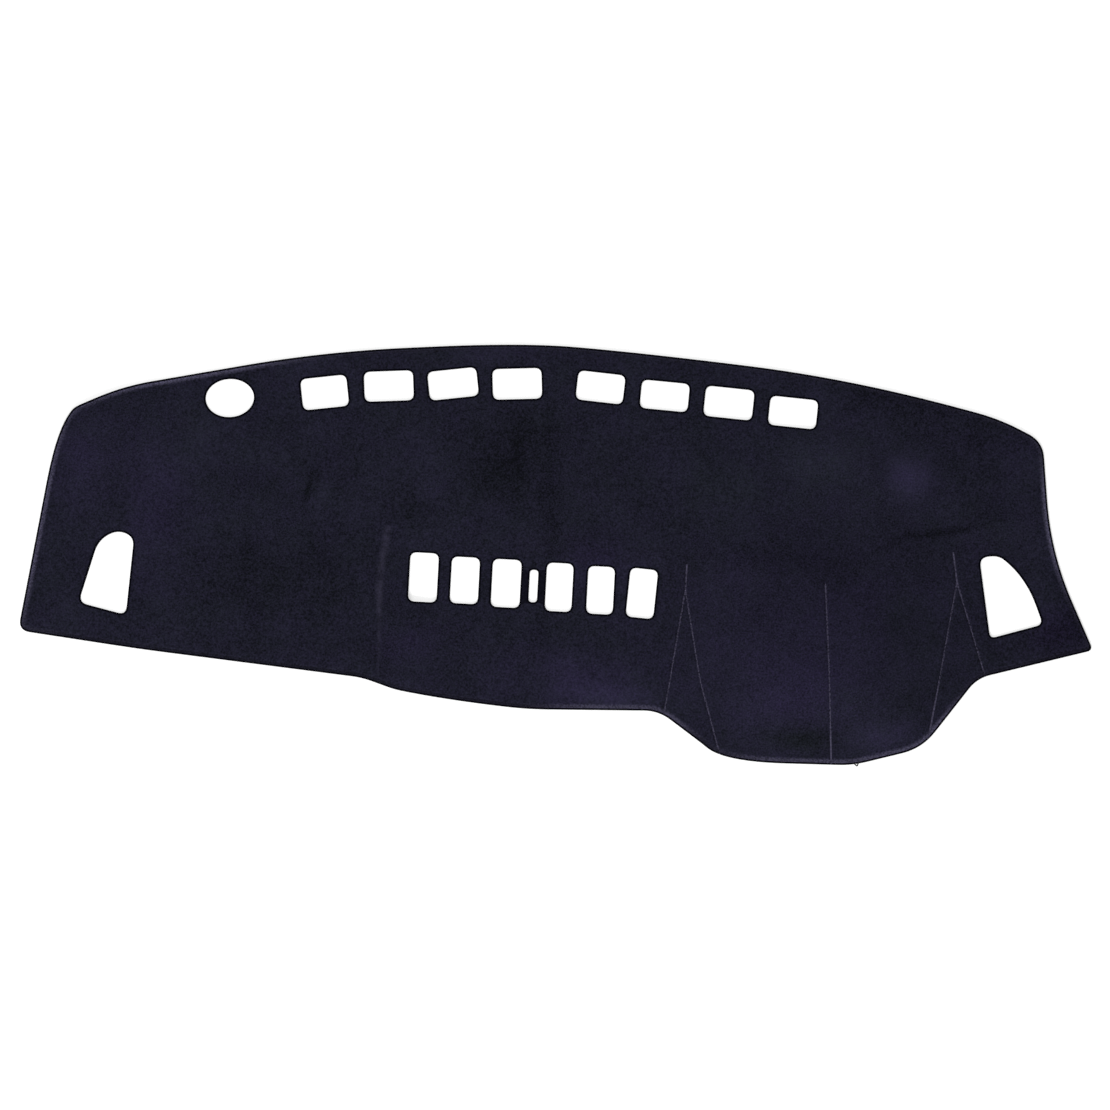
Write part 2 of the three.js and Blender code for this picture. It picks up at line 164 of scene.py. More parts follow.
def distanceTo(points, lines):
    # Distance from each point to the nearest of the given lines, a line being (points, closed)
    starts = []
    ends = []
    for line, closed in lines:
        starts.append(line if closed else line[:-1])
        ends.append(np.roll(line, -1, axis=0) if closed else line[1:])
    starts = np.vstack(starts)
    runs = np.vstack(ends) - starts
    squares = np.maximum((runs ** 2).sum(1), 1e-12)
    nearest = np.empty(len(points))
    batch = 1500
    for first in range(0, len(points), batch):
        some = points[first:first + batch]
        dx = some[:, 0, None] - starts[None, :, 0]
        dy = some[:, 1, None] - starts[None, :, 1]
        t = np.clip((dx * runs[:, 0] + dy * runs[:, 1]) / squares, 0, 1)
        gap = (dx - t * runs[:, 0]) ** 2 + (dy - t * runs[:, 1]) ** 2
        nearest[first:first + batch] = np.sqrt(gap.min(1))
    return nearest


def insideOf(points, loop):
    # Which points lie inside the closed loop
    x, y = points.T
    within = np.zeros(len(points), bool)
    for (x0, y0), (x1, y1) in zip(loop, np.roll(loop, -1, axis=0)):
        if y0 == y1:
            continue
        crosses = (y0 > y) != (y1 > y)
        within ^= crosses & (x < x0 + (x1 - x0) * (y - y0) / (y1 - y0))
    return within


def smooth(t):
    s = np.clip(t, 0, 1)
    return s * s * (3 - 2 * s)


print("plan: cut edge")
edge = counterClockwise(roundedOutline([(place(c), c["round"]) for c in cutEdge], mat["roundSteps"]))
edge = evenSteps(edge, net["edge"], True)
middle = (edge.min(0) + edge.max(0)) / 2     # the row's origin lies under the middle of the box


def windscreenEdge(x):
    # How far back the cut edge reaches at x
    heights = []
    for (x0, y0), (x1, y1) in zip(edge, np.roll(edge, -1, axis=0)):
        if x0 != x1 and (x0 - x) * (x1 - x) <= 0:
            heights.append(y0 + (y1 - y0) * (x - x0) / (x1 - x0))
    return max(heights)


# Cut-outs. Each vent is cut to its own size; a windscreen vent's inset runs from the edge to its middle.
ventCorner = 9
windscreenVents = {"pitch": 87, "inGroup": 4, "groupOffset": 187, "cuts": [
    {"width": 62.5, "height": 42.5, "inset": 52, "turn": 6},
    {"width": 66.5, "height": 40.5, "inset": 50.5, "turn": 2},
    {"width": 66.5, "height": 39, "inset": 51.5, "turn": 6},
    {"width": 66.5, "height": 41.5, "inset": 53, "turn": 1.5},
    {"width": 64, "height": 39.5, "inset": 51.5, "turn": -6.5},
    {"width": 65, "height": 38.5, "inset": 54, "turn": -5.5},
    {"width": 66, "height": 41, "inset": 53.5, "turn": -6},
    {"width": 65, "height": 39.5, "inset": 54.5, "turn": -6},
]}
sensorHole = {"width": 65.5, "height": 51.5, "middle": -446, "inset": 41, "turn": 4, "steps": 80}
centreVents = {"pitch": 56.2, "split": 72, "middle": -35.5, "ahead": 168, "rowTurn": -4.2, "cuts": [
    {"width": 38.5, "height": 66.5, "turn": -3},
    {"width": 38, "height": 63, "turn": -3},
    {"width": 39, "height": 65, "turn": -3},
    {"width": 36, "height": 65.5, "turn": -3},
    {"width": 36, "height": 64.5, "turn": -3},
    {"width": 37.5, "height": 66.5, "turn": -6},
]}
switchSlot = {"width": 11.5, "height": 44, "corner": 5, "aside": 1, "ahead": 1, "turn": -3}
leftSideVent = {"at": {"left": 120, "drop": 311},
                "corners": ((-41, -39, 12), (23, -56, 11), (34, 48, 11), (14, 60, 16), (-14, 46, 17))}
rightSideVent = {"at": {"right": 112, "drop": 345},
                 "corners": ((-24.5, -54, 8), (47, -35, 9), (24, 29, 42), (-12.5, 58, 10), (-39, 56, 13))}


def roundedSlab(at, sizes, corner):
    halves = np.array((sizes["width"] / 2, sizes["height"] / 2))
    signs = ((-1, -1), (1, -1), (1, 1), (-1, 1))
    corners = [(at + turned(halves * sign, sizes["turn"]), corner) for sign in signs]
    return roundedOutline(corners, mat["roundSteps"])


def windscreenVentLoops():
    v = windscreenVents
    count = v["inGroup"]
    loops = []
    for i, cut in enumerate(v["cuts"]):
        group = -v["groupOffset"] if i < count else v["groupOffset"]
        x = group + (i % count - (count - 1) / 2) * v["pitch"]
        loops.append(roundedSlab(np.array((x, windscreenEdge(x) - cut["inset"])), cut, ventCorner))
    return loops


def sensorLoop():
    s = sensorHole
    angles = np.linspace(0, 2 * math.pi, s["steps"], endpoint=False)
    oval = np.column_stack((s["width"] / 2 * np.cos(angles), s["height"] / 2 * np.sin(angles)))
    return turned(oval, s["turn"]) + (s["middle"], windscreenEdge(s["middle"]) - s["inset"])


def centreVentLoops():
    v = centreVents
    row = np.array((v["middle"], v["ahead"] - mat["centreDepth"]), float)
    slotAt = row + (switchSlot["aside"], -switchSlot["ahead"])
    loops = [roundedSlab(slotAt, switchSlot, switchSlot["corner"])]
    for i, cut in enumerate(v["cuts"]):
        steps = i - (len(v["cuts"]) - 1) / 2                 # places from the switch slot, in pitches
        offset = math.copysign(v["split"] / 2 + (abs(steps) - 0.5) * v["pitch"], steps)
        loops.append(roundedSlab(row + turned(np.array((offset, 0)), v["rowTurn"]), cut, ventCorner))
    return loops


def sideVentLoop(vent):
    at = place(vent["at"])
    return roundedOutline([(at + (x, y), radius) for x, y, radius in vent["corners"]], mat["roundSteps"])


print("plan: cut-outs")
holes = windscreenVentLoops() + [sensorLoop()] + centreVentLoops()
holes += [sideVentLoop(leftSideVent), sideVentLoop(rightSideVent)]
holes = [evenSteps(counterClockwise(h), net["hole"], True) for h in holes]


# Seams of the instrument hood and the left dart
gussets = {
    "hood_gusset_left": {"hood": -189.5, "apex": 238, "stemHood": -187.5, "stem": 34, "root": hoodLeftRoot,
                         "shoulder": hoodLeftShoulder, "rootInset": 9, "shoulderPast": 29,
                         "bend": {"hood": -169.5, "drop": mat["hoodDepth"] - 114}},
    "hood_gusset_right": {"hood": 178.5, "apex": 248, "stemHood": 173.5, "stem": 40, "root": hoodRightRoot,
                          "shoulder": hoodRightShoulder, "rootInset": -14, "shoulderPast": -12},
}
gussetTip = 5
seamPast = 20            # seam lines are drawn past the cut edge by this much
hoodDart = {"tipHood": -0.5, "tip": 245, "footHood": 9}
leftDart = {"tip": (-232, -250), "bend": (-243, -320), "foot": (-246, -515),
            "faint": 4.5, "faintFrom": 320, "faintOver": 110}    # its painted highlight streak fades forward of its bend


def gussetLines(g):
    # Corners of the gusset from its blunt tip, and the seam lines: two legs that meet at the apex, and a stem
    apex = place({"hood": g["hood"], "drop": mat["hoodDepth"] - g["apex"]})
    root = place(g["root"])
    shoulder = place(g["shoulder"])
    flank = (shoulder - root) / np.linalg.norm(shoulder - root)
    side = np.array((math.copysign(gussetTip / 2, flank[0]), 0))
    rootLeg = [apex - side, root + flank * g["rootInset"]]
    shoulderLeg = [apex + side, shoulder + flank * g["shoulderPast"]]
    if "bend" in g:
        shoulderLeg.insert(1, place(g["bend"]))
    for leg in (rootLeg, shoulderLeg):
        run = leg[-1] - leg[-2]
        leg[-1] = leg[-1] + run / np.linalg.norm(run) * seamPast
    top = place({"hood": g["stemHood"], "drop": mat["hoodDepth"] - g["apex"] - g["stem"]})
    return {"corners": np.array(rootLeg + shoulderLeg[::-1]),
            "legs": [np.array([apex] + leg[1:]) for leg in (rootLeg, shoulderLeg)],
            "stem": np.array((top, apex))}


print("plan: seams")
gussetPlans = {name: gussetLines(g) for name, g in gussets.items()}
dartLine = np.array((place({"hood": hoodDart["tipHood"], "drop": mat["hoodDepth"] - hoodDart["tip"]}),
                     place({"hood": hoodDart["footHood"], "drop": mat["hoodDepth"] + seamPast})))
leftDartLine = np.array((leftDart["tip"], leftDart["bend"], leftDart["foot"]), float)
hoodSeams = [dartLine]
for plan in gussetPlans.values():
    hoodSeams += plan["legs"] + [plan["stem"]]
hoodSeams = [evenSteps(line, net["seam"], False) for line in hoodSeams]
leftDartLine = evenSteps(leftDartLine, net["seam"], False)
edgeLoop = [(edge, True)]
holeLoops = [(h, True) for h in holes]
seamLines = [(line, False) for line in hoodSeams]


# Cloth
cloth = {
    "thick": 3.6,
    "hemWidth": 4.6,
    "hemThick": 4.2,
    "hemLift": 0.3,
    "needleLine": 5.2,       # distance of the needle thread from the cut edge
    "needleDip": 0.7,        # how far the needle thread draws the pile in
    "hemFade": 9,
    "holeRound": 0.9,        # radius of the pile at a raw cut edge
    "seamWidth": 1.5,
    "seamDepth": 1.5,
    "seamAtHem": 0.35,       # share of that depth where a seam crosses the hem
    "seamPuff": 0.35,        # pile pushed up beside a seam
    "puffAway": 4.2,
    "puffWidth": 2.2,
    "dartWidth": 3.2,
    "dartDepth": 0.9,
    "sharpest": 50,          # degrees, past which an edge of the shell is shaded as sharp
}
# Dome of the instrument hood
hood = {"rise": 34, "crownHalf": 42, "flank": 165, "front": 118, "back": 235, "crownBack": 128}
# Broad rises of the cloth as it lies
lifts = [
    {"at": {"hood": -2, "drop": 165}, "long": 95, "wide": 70, "rise": 5},
    {"at": {"hood": 109, "drop": 178}, "long": 78, "wide": 62, "turn": 20, "rise": 6},
    {"at": {"middle": 4, "drop": 214}, "long": 110, "wide": 34, "turn": 86, "rise": 3},
    {"at": {"middle": -196, "drop": 392}, "long": 120, "wide": 56, "turn": 92, "rise": 7},
    {"at": {"left": 330, "drop": 212}, "long": 90, "wide": 48, "turn": -30, "rise": 4},
    {"at": {"left": 110, "drop": 108}, "long": 105, "wide": 70, "turn": 35, "rise": 5},
    {"at": {"right": 120, "drop": 238}, "long": 74, "wide": 44, "turn": 15, "rise": 4},
]
# Small creases that storage left in the cloth
creases = [
    {"at": {"middle": 8, "drop": 150}, "long": 150, "wide": 14, "turn": 90, "rise": 1},
    {"at": {"left": 387, "drop": 205}, "long": 26, "wide": 9, "turn": 70, "rise": 1.6},
    {"at": {"left": 226, "drop": 178}, "long": 34, "wide": 8, "turn": -28, "rise": 1.4},
    {"at": {"middle": -166, "drop": 196}, "long": 30, "wide": 13, "turn": 40, "rise": 1.6},
    {"at": {"hood": 213, "drop": 243}, "long": 60, "wide": 9, "turn": 8, "rise": 1.7},
    {"at": {"hood": 78, "drop": 262}, "long": 44, "wide": 9, "turn": -30, "rise": 1.2},
]


def humps(points, shapes, what="rise"):
    # Sum of soft oval spots at each point, each as high as its own value under the given name
    height = np.zeros(len(points))
    for s in shapes:
        away = turned(points - place(s["at"]), -s.get("turn", 0))
        height += s.get(what, 0) * smooth(1 - np.hypot(away[:, 0] / s["long"], away[:, 1] / s["wide"]))
    return height


def relief(points):
    # Height of the cloth's underside above the table
    x, y = points.T
    crownY = hood["crownBack"] - mat["hoodDepth"]
    side = smooth((hood["crownHalf"] + hood["flank"] - np.abs(x - mat["hoodOffset"])) / hood["flank"])
    front = smooth((y + mat["hoodDepth"]) / hood["front"])
    back = smooth((crownY + hood["back"] - y) / hood["back"])
    return hood["rise"] * side * front * back + humps(points, lifts) + humps(points, creases)


def lineGaps(points):
    # How far each point of the plan is from the cut edge, the holes, the seams and the left dart
    lines = {"edgeGap": edgeLoop, "holeGap": holeLoops, "seamGap": seamLines,
             "dartGap": [(leftDartLine, False)]}
    return {name: distanceTo(points, some) for name, some in lines.items()}


def clothHeights(points, gaps):
    # Underside and pile side of the cloth over each point of the plan
    base = relief(points)
    edgeGap, holeGap, seamGap, dartGap = gaps.values()
    half = cloth["hemWidth"] / 2
    bulge = np.sqrt(1 - (1 - np.clip(edgeGap / half, 0, 1)) ** 2)
    beadTop = cloth["hemLift"] + cloth["hemThick"] / 2 * (1 + bulge)
    beadUnder = cloth["hemLift"] + cloth["hemThick"] / 2 * (1 - bulge)
    dipped = cloth["thick"] - cloth["needleDip"]
    inward = smooth((edgeGap - half) / (cloth["needleLine"] - half))
    settle = smooth((edgeGap - cloth["needleLine"]) / (cloth["hemFade"] - cloth["needleLine"]))
    top = beadTop * (1 - inward) + (dipped + (cloth["thick"] - dipped) * settle) * inward
    under = beadUnder * (1 - inward)
    deep = cloth["seamAtHem"] + (1 - cloth["seamAtHem"]) * inward
    top -= cloth["seamDepth"] * np.exp(-(seamGap / cloth["seamWidth"]) ** 2) * deep
    top += cloth["seamPuff"] * np.exp(-((seamGap - cloth["puffAway"]) / cloth["puffWidth"]) ** 2)
    top -= cloth["dartDepth"] * np.exp(-(dartGap / cloth["dartWidth"]) ** 2)
    rim = np.clip(holeGap / cloth["holeRound"], 0, 1)
    top -= cloth["holeRound"] * (1 - np.sqrt(1 - (1 - rim) ** 2))
    return base + under, base + top


def farEnough(candidates, kept, gap):
    # Which candidates lie no closer than the gap to any kept point
    tree = kdtree.KDTree(len(kept))
    for i, (x, y) in enumerate(kept):
        tree.insert((x, y, 0), i)
    tree.balance()
    return np.array([tree.find((x, y, 0))[2] >= gap for x, y in candidates], bool)


def planPoints():
    # Points of the plan: rows along the hem, round the holes and beside the seams, then an even field
    kept = [edge] + holes
    inward = lineSides(edge, True)
    for row in net["hemRows"]:
        line = edge + inward * row
        ownRow = distanceTo(line, edgeLoop) > net["rowShare"] * row
        kept.append(line[ownRow & (distanceTo(line, seamLines) > net["offSeam"])])
    for h in holes:
        outward = -lineSides(h, True)
        kept += [h + outward * row for row in net["holeRows"]]
    field = np.vstack(kept)
    for row in net["seamRows"]:
        for line in hoodSeams + [leftDartLine]:
            sides = lineSides(line, False)
            for sign in ((0,) if row == 0 else (-1, 1)):
                some = line + sides * (sign * row)
                some = some[insideOf(some, edge)]
                some = some[distanceTo(some, edgeLoop) > net["offEdge"]]
                some = some[farEnough(some, field, net["apart"])]
                field = np.vstack((field, some))
    step = net["field"]
    low, high = edge.min(0), edge.max(0)
    rows = np.arange(low[1], high[1], step * math.sqrt(3) / 2)
    grid = [(x + (k % 2) * step / 2, y) for k, y in enumerate(rows) for x in np.arange(low[0], high[0], step)]
    grid = np.array(grid)
    grid = grid[insideOf(grid, edge)]
    for h in holes:
        grid = grid[~insideOf(grid, h)]
    grid = grid[farEnough(grid, field, step * net["fieldShare"])]
    return field, grid


def triangulate():
    # Triangles over the plan, with the cut edges and the sides of the gussets kept as edges
    field, grid = planPoints()
    points = [Vector(p) for p in np.vstack((field, grid))]
    edges = []
    first = 0
    for loop in [edge] + holes:
        edges += [(first + i, first + (i + 1) % len(loop)) for i in range(len(loop))]
        first += len(loop)
    for plan in gussetPlans.values():
        count = len(plan["corners"])
        footSide = 1             # the side between the two feet lies past the cut edge, and isn't an edge
        edges += [(len(points) + i, len(points) + (i + 1) % count) for i in range(count) if i != footSide]
        points += [Vector(p) for p in plan["corners"]]
    insideOnly, weld = 1, 1e-4
    made = geometry.delaunay_2d_cdt(points, edges, [], insideOnly, weld)
    verts = np.array([tuple(p) for p in made[0]])
    faces = np.array(made[2])
    for h in holes:
        faces = faces[~insideOf(verts[faces].mean(1), h)]
    return verts, faces


print("cloth: triangulating the plan")
planVerts, planFaces = triangulate()
gaps = lineGaps(planVerts)
under, top = clothHeights(planVerts, gaps)
print("cloth:", len(planVerts), "points,", len(planFaces), "triangles in the plan")


# Soft marks in the pile: extra lightness and extra violet, as shares. Some are where the pile was brushed or
# pressed; others are painted light and shade: lighter spots on the rises and on the hood's front slope, dark
# streaks along the creases and the fold.
napAndPaintedLightMarks = [
    {"at": {"middle": -642, "drop": 163}, "long": 110, "wide": 80, "turn": 80, "light": 0.22, "violet": 0.61},
    {"at": {"middle": -550, "drop": 220}, "long": 150, "wide": 70, "turn": 85, "light": 0.22, "violet": 0.68},
    {"at": {"middle": -486, "drop": 129}, "long": 110, "wide": 70, "light": 0.3, "violet": -0.15},
    {"at": {"middle": -364, "drop": 320}, "long": 200, "wide": 130, "light": -0.32, "violet": -0.1},
    {"at": {"middle": -204, "drop": 404}, "long": 70, "wide": 45, "light": 0.19, "violet": 0.54},
    {"at": {"middle": -70, "drop": 150}, "long": 130, "wide": 95, "turn": 90, "light": -0.45, "violet": -0.2},
    {"at": {"middle": -177, "drop": 193}, "long": 30, "wide": 26, "light": 0.46, "violet": -0.07},
    {"at": {"middle": -195, "drop": 224}, "long": 34, "wide": 18, "light": -0.31},
    {"at": {"middle": 22, "drop": 452}, "long": 170, "wide": 60, "turn": -2, "light": 0.4, "violet": 0.6},
    {"at": {"middle": 60, "drop": 476}, "long": 120, "wide": 26, "turn": -3, "light": 0.75, "violet": 0.15},
    {"at": {"middle": 49, "drop": 301}, "long": 70, "wide": 70, "light": 0.16, "violet": 0.61},
    {"at": {"middle": 226, "drop": 197}, "long": 95, "wide": 90, "light": 0.19, "violet": -0.35},
    {"at": {"hood": -30, "drop": 396}, "long": 250, "wide": 180, "light": 0.16, "violet": 0.55},
    {"at": {"hood": -55, "drop": 475}, "long": 120, "wide": 75, "turn": 20, "light": 0.38, "violet": 0.45},
    {"at": {"hood": -34, "drop": 535}, "long": 65, "wide": 22, "light": -0.5, "violet": -0.8},
    {"at": {"hood": 75, "drop": 532}, "long": 80, "wide": 30, "turn": 10, "light": 0.62, "violet": 0.27},
    {"at": {"hood": 110, "drop": 400}, "long": 120, "wide": 55, "turn": 90, "light": 0.03, "violet": -0.3},
    {"at": {"hood": -60, "drop": 290}, "long": 120, "wide": 36, "light": -0.31, "violet": 0.07},
    {"at": {"hood": -3, "drop": 160}, "long": 86, "wide": 78, "light": 0.62, "violet": -0.34},
    {"at": {"hood": 113, "drop": 179}, "long": 52, "wide": 50, "light": 1.15, "violet": 0.54},
    {"at": {"hood": 140, "drop": 92}, "long": 200, "wide": 55, "turn": -18, "light": -0.4, "violet": 0.14},
    {"at": {"right": 98, "drop": 183}, "long": 70, "wide": 50, "turn": 90, "light": 0.16, "violet": 0.2},
    {"at": {"right": 36, "drop": 391}, "long": 80, "wide": 56, "turn": 15, "light": -0.66, "violet": 1},
    {"at": {"middle": -82, "drop": 12}, "long": 80, "wide": 18, "turn": 4, "light": 0.62, "violet": 0.14},
    {"at": {"middle": -8, "drop": 193}, "long": 170, "wide": 26, "turn": 90, "light": -0.36},
    {"at": {"middle": -58, "drop": 165}, "long": 120, "wide": 18, "turn": 88, "light": -0.25},
    {"at": {"left": 390, "drop": 197}, "long": 32, "wide": 8, "turn": 75, "light": -0.93},
    {"at": {"left": 412, "drop": 200}, "long": 34, "wide": 16, "turn": 75, "light": 0.4},
    {"at": {"hood": 168, "drop": 254}, "long": 84, "wide": 9, "turn": 8, "light": -0.85},
    {"at": {"hood": 90, "drop": 270}, "long": 50, "wide": 9, "turn": 32, "light": -0.54},
]
# Painted highlights on the seams: their free ends and their feet at the lip
seamMarks = [
    {"at": {"hood": -187.5, "drop": 302}, "long": 16, "wide": 12, "turn": 90, "light": 0.9},
    {"at": {"hood": 174.5, "drop": 290}, "long": 16, "wide": 12, "turn": 90, "light": 0.9},
    {"at": {"hood": 178.5, "drop": 318}, "long": 14, "wide": 12, "turn": 90, "light": 0.7},
    {"at": {"hood": 0, "drop": 332}, "long": 12, "wide": 10, "turn": 90, "light": 0.5},
    {"at": {"hood": 8, "drop": 552}, "long": 42, "wide": 14, "turn": 90, "light": 0.9},
    {"at": {"hood": 138, "drop": 505}, "long": 60, "wide": 26, "turn": 80, "light": 0.7},
]
# How strongly the overlocked edge catches the light, over what it does everywhere
hemMarks = [
    {"at": {"left": 30, "drop": 240}, "long": 230, "wide": 130, "turn": 78, "light": 1.1},
    {"at": {"left": 230, "drop": 30}, "long": 260, "wide": 80, "turn": 10, "light": 1},
    {"at": {"middle": 100, "drop": 500}, "long": 190, "wide": 60, "light": 1.3},
    {"at": {"hood": 60, "drop": 560}, "long": 320, "wide": 110, "turn": 8, "light": 1.4},
    {"at": {"right": 50, "drop": 240}, "long": 160, "wide": 90, "turn": 82, "light": 1},
]


def setValues(mesh, name, numbers):
    # One number for each point of the mesh, for its material to read
    layer = mesh.attributes.new(name, "FLOAT", "POINT")
    layer.data.foreach_set("value", np.asarray(numbers, np.float32))


def pieceMesh(name, faces):
    # Closed shell over the given triangles of the plan. The hem's rim is shared by both sides.
    used = np.unique(faces)
    local = {int(v): i for i, v in enumerate(used)}
    shared = gaps["edgeGap"][used] < net["onEdge"]
    plan = (planVerts[used] - middle) * mm
    upper = np.column_stack((plan, top[used] * mm))
    upper[shared, 2] = (top[used][shared] + under[used][shared]) / 2 * mm
    lowerIndex = np.arange(len(used))
    lowerIndex[~shared] = len(used) + np.arange((~shared).sum())
    lower = np.column_stack((plan, under[used] * mm))[~shared]
    verts = np.vstack((upper, lower))
    tris = np.vectorize(local.get)(faces)
    polys = [tuple(t) for t in tris] + [tuple(lowerIndex[t[::-1]]) for t in tris]
    seen = {}
    for a, b, c in tris:
        for pair in ((a, b), (b, c), (c, a)):
            seen[pair] = seen.get(pair, 0) + 1
    for a, b in seen:
        if (b, a) in seen:
            continue
        wall = [b, a, lowerIndex[a], lowerIndex[b]]
        wall = [v for i, v in enumerate(wall) if v != wall[i - 1]]
        if len(wall) > 2 and len(set(wall)) == len(wall):
            polys.append(tuple(wall))
    mesh = bpy.data.meshes.new(name)
    mesh.from_pydata(verts.tolist(), [], [[int(v) for v in p] for p in polys])
    mesh.update()
    mesh.shade_smooth()
    mesh.set_sharp_from_angle(angle=math.radians(cloth["sharpest"]))
    lowerUsed = used[~shared]
    both = np.concatenate((used, lowerUsed))
    where = planVerts[both]
    values = {key: gap[both] for key, gap in gaps.items()}
    fading = smooth((-where[:, 1] - leftDart["faintFrom"]) / leftDart["faintOver"])
    values["dartGap"] += leftDart["faint"] * fading
    values["pileSide"] = np.concatenate((np.ones(len(used)), np.zeros(len(lowerUsed))))
    values["seamLit"] = np.clip(humps(where, seamMarks, "light"), 0, 1)
    values["hemLit"] = np.clip(humps(where, hemMarks, "light"), 0, 1)
    # Lightness share: the pile's nap, and painted light and shade on the rises, the hood's front slope, the
    # creases and the fold
    values["napAndPaintedLightShare"] = humps(where, napAndPaintedLightMarks, "light")
    values["violet"] = humps(where, napAndPaintedLightMarks, "violet")
    for key, numbers in values.items():
        setValues(mesh, key, numbers)
    piece = bpy.data.objects.new(name, mesh)
    bpy.context.scene.collection.objects.link(piece)
    return piece


def wrap(tree, kind, **settings):
    # A new node with its settings
    node = tree.nodes.new(kind)
    for key, value in settings.items():
        setattr(node, key, value)
    return node


def newMaterial(name):
    material = bpy.data.materials.new(name)
    material.use_nodes = True
    tree = material.node_tree
    shader = tree.nodes["Principled BSDF"]
    return material, tree, shader


def mathNode(tree, operation, a, b, clamp=False):
    node = wrap(tree, "ShaderNodeMath", operation=operation, use_clamp=clamp)
    for socket, value in zip(node.inputs, (a, b)):
        if isinstance(value, (int, float)):
            socket.default_value = value
        else:
            tree.links.new(value, socket)
    return node.outputs[0]


def mixColour(tree, factor, a, b, blend="MIX", clamp=True):
    node = wrap(tree, "ShaderNodeMix", data_type="RGBA", blend_type=blend, clamp_factor=clamp)
    for socket, value in ((node.inputs[0], factor), (node.inputs[6], a), (node.inputs[7], b)):
        if isinstance(value, (int, float)):
            socket.default_value = value
        elif isinstance(value, tuple):
            socket.default_value = (*value, 1)
        else:
            tree.links.new(value, socket)
    return node.outputs[2]


def noiseNode(tree, coordinates, pattern):
    node = wrap(tree, "ShaderNodeTexNoise")
    for label, value in zip(("Scale", "Detail", "Roughness"), pattern):
        node.inputs[label].default_value = value
    tree.links.new(coordinates, node.inputs["Vector"])
    return node.outputs["Fac"]


def addBump(tree, shader, height, strength, distance):
    bump = wrap(tree, "ShaderNodeBump")
    bump.inputs["Strength"].default_value = strength
    bump.inputs["Distance"].default_value = distance
    tree.links.new(height, bump.inputs["Height"])
    tree.links.new(bump.outputs["Normal"], shader.inputs["Normal"])


def attribute(tree, name):
    return wrap(tree, "ShaderNodeAttribute", attribute_name=name).outputs["Fac"]


def rangeOf(tree, value, low, high, toLow, toHigh):
    # Smooth step of the value from one range to another, held at both ends
    node = wrap(tree, "ShaderNodeMapRange", interpolation_type="SMOOTHSTEP")
    for socket, number in zip(node.inputs[1:5], (low, high, toLow, toHigh)):
        socket.default_value = number
    tree.links.new(value, node.inputs[0])
    return node.outputs[0]


pile = {
    "deep": (0.0079, 0.0083, 0.0140),        # where the pile stands up, and painted shade
    "light": (0.0159, 0.0163, 0.0288),       # where it lies over, and painted light
    "violetTint": (1.16, 0.955, 1.27),
    # hem and seam are painted highlights: where the hem catches the light, and along the seams and the left
    # dart
    "hem": (0.094, 0.087, 0.148),
    "seam": (0.100, 0.091, 0.150),
    "cut": (0.0006, 0.0005, 0.0020),         # painted shade: dark line along a cut edge and round each hole
    "back": (0.012, 0.012, 0.015),
    # Noise patterns: scale, detail and roughness
    "cloud": (13, 3, 0.55), "mottle": (95, 3, 0.6), "grain": (430, 1, 0.6), "fibre": (1500, 1, 0.5),
    "hueCloud": (22, 3, 0.6), "hueGrain": (330, 2, 0.6), "hueAside": (3.1, 1.7, 0.4),
    # How far each pattern swings the lightness, and the violet
    "start": 0.40, "swing": {"cloud": 1.2, "mottle": 0.85, "grain": 3.4}, "least": -0.6, "most": 2.6,
    "hueStart": 0.25, "hueSwing": {"hueCloud": 1.3, "hueGrain": 2.0}, "hueLeast": -0.5, "hueMost": 1.5,
    # Bands beside an edge or a seam: from and to, in millimetres, and the strength at the start
    "cutRim": (2.3, 3.0, 1), "holeRing": (2.2, 3.2, 1), "hemBand": (2.6, 9.5, 0.8),
    "seamBand": (0.3, 1.7, 0.8), "dartBand": (1.0, 8.0, 0.13),
    # Smooth steps over a mark or a pattern: from and to, and what they give there
    "hemLit": (0, 1, 0.10, 1.0), "hemBreaks": (0.38, 0.62, 0.5, 1.3), "seamDots": (0.38, 0.62, 0.10, 0.75),
    "dartPatches": (0.35, 0.65, 0.4, 1.2), "pileSide": (0.2, 0.9, 0, 1),
    "roughness": 0.95, "specular": 0.04, "sheen": 0.03, "sheenRoughness": 0.4, "sheenTint": (0.62, 0.52, 1.0),
    "bump": 0.6, "bumpHeight": 0.0009, "grainInNap": 0.7,
}


def swung(tree, patterns, swings, marks, start, least, most):
    # start plus each pattern's swing about its middle and the marks, held between least and most
    total = start
    for name, swing in swings.items():
        away = mathNode(tree, "SUBTRACT", patterns[name], 0.5)
        total = mathNode(tree, "ADD", mathNode(tree, "MULTIPLY", away, swing), total)
    total = mathNode(tree, "ADD", attribute(tree, marks), total)
    return mathNode(tree, "MINIMUM", mathNode(tree, "MAXIMUM", total, least), most)


def bandBeside(tree, gap, band):
    start, end, strength = band
    return rangeOf(tree, attribute(tree, gap), start, end, strength, 0)


